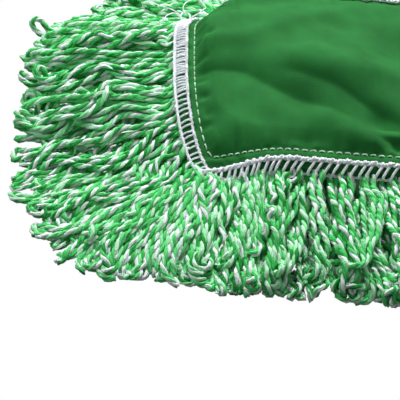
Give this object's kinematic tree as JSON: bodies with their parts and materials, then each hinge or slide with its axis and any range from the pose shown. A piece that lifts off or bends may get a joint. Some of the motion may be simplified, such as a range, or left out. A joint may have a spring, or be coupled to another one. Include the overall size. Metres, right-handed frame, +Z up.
{
  "type": "flat dust mop",
  "caption": "Flat dust mop: looped yarn head with cloth frame pockets, wire frame, and a swivelling, tilting handle socket with release lever.",
  "frame": {"origin": "on the floor under the middle of the mop head", "axes": "+X along the head, +Y across it towards its back edge, +Z up along the handle socket"},
  "size_m": [0.806, 0.316, 0.141],
  "materials": {
    "cloth": "green woven polyester cloth",
    "yarn": "three-ply looped yarn, green and white",
    "thread": "white sewing thread and tape",
    "wire": "zinc-plated steel wire",
    "fastener": "zinc-plated steel",
    "nylon": "dark grey glass-filled nylon",
    "lever": "green nylon"
  },
  "bodies": {
    "mop_head": {"base_cloth": "cloth", "pocket_cover_left": "cloth", "pocket_cover_right": "cloth", "mouth_binding_left": "thread", "mouth_binding_right": "thread", "overlock_left": "thread", "overlock_right": "thread", "overlock_front": "thread", "overlock_back": "thread", "fringe_left": "yarn", "fringe_right": "yarn", "fringe_front": "yarn", "fringe_back": "yarn", "loop_row_1": "yarn", "loop_row_2": "yarn", "loop_row_3": "yarn", "loop_row_4": "yarn", "loop_row_5": "yarn", "frame_wire_left": "wire", "frame_wire_right": "wire", "lower_clamp": "nylon", "upper_clamp": "nylon", "clamp_screws": "fastener", "clamp_nuts": "fastener", "king_bolt": "fastener", "king_nut": "fastener", "thrust_washer": "fastener"},
    "yoke": {"swivel_yoke": "nylon", "tilt_bolt": "fastener", "tilt_nut": "fastener", "tilt_washers": "fastener"},
    "socket": {"handle_socket": "nylon", "lever_pin": "fastener", "lever_spring": "fastener"},
    "lever": {"release_lever": "lever"}
  },
  "joints": [
    {"name": "handle_swivel", "type": "hinge", "parent": "mop_head", "child": "yoke", "pos_m": [0, 0, 0.04], "axis": [0, 0, 1], "continuous": true},
    {"name": "handle_tilt", "type": "hinge", "parent": "yoke", "child": "socket", "pos_m": [0, 0, 0.062], "axis": [1, 0, 0], "range_deg": [-85, 85]},
    {"name": "release_press", "type": "hinge", "parent": "socket", "child": "lever", "pos_m": [0, 0.022, 0.095], "axis": [1, 0, 0], "range_deg": [0, 7], "stiffness_Nm_per_rad": 0.3, "springref_deg": -17.19, "deforming": ["lever_spring"]}
  ]
}
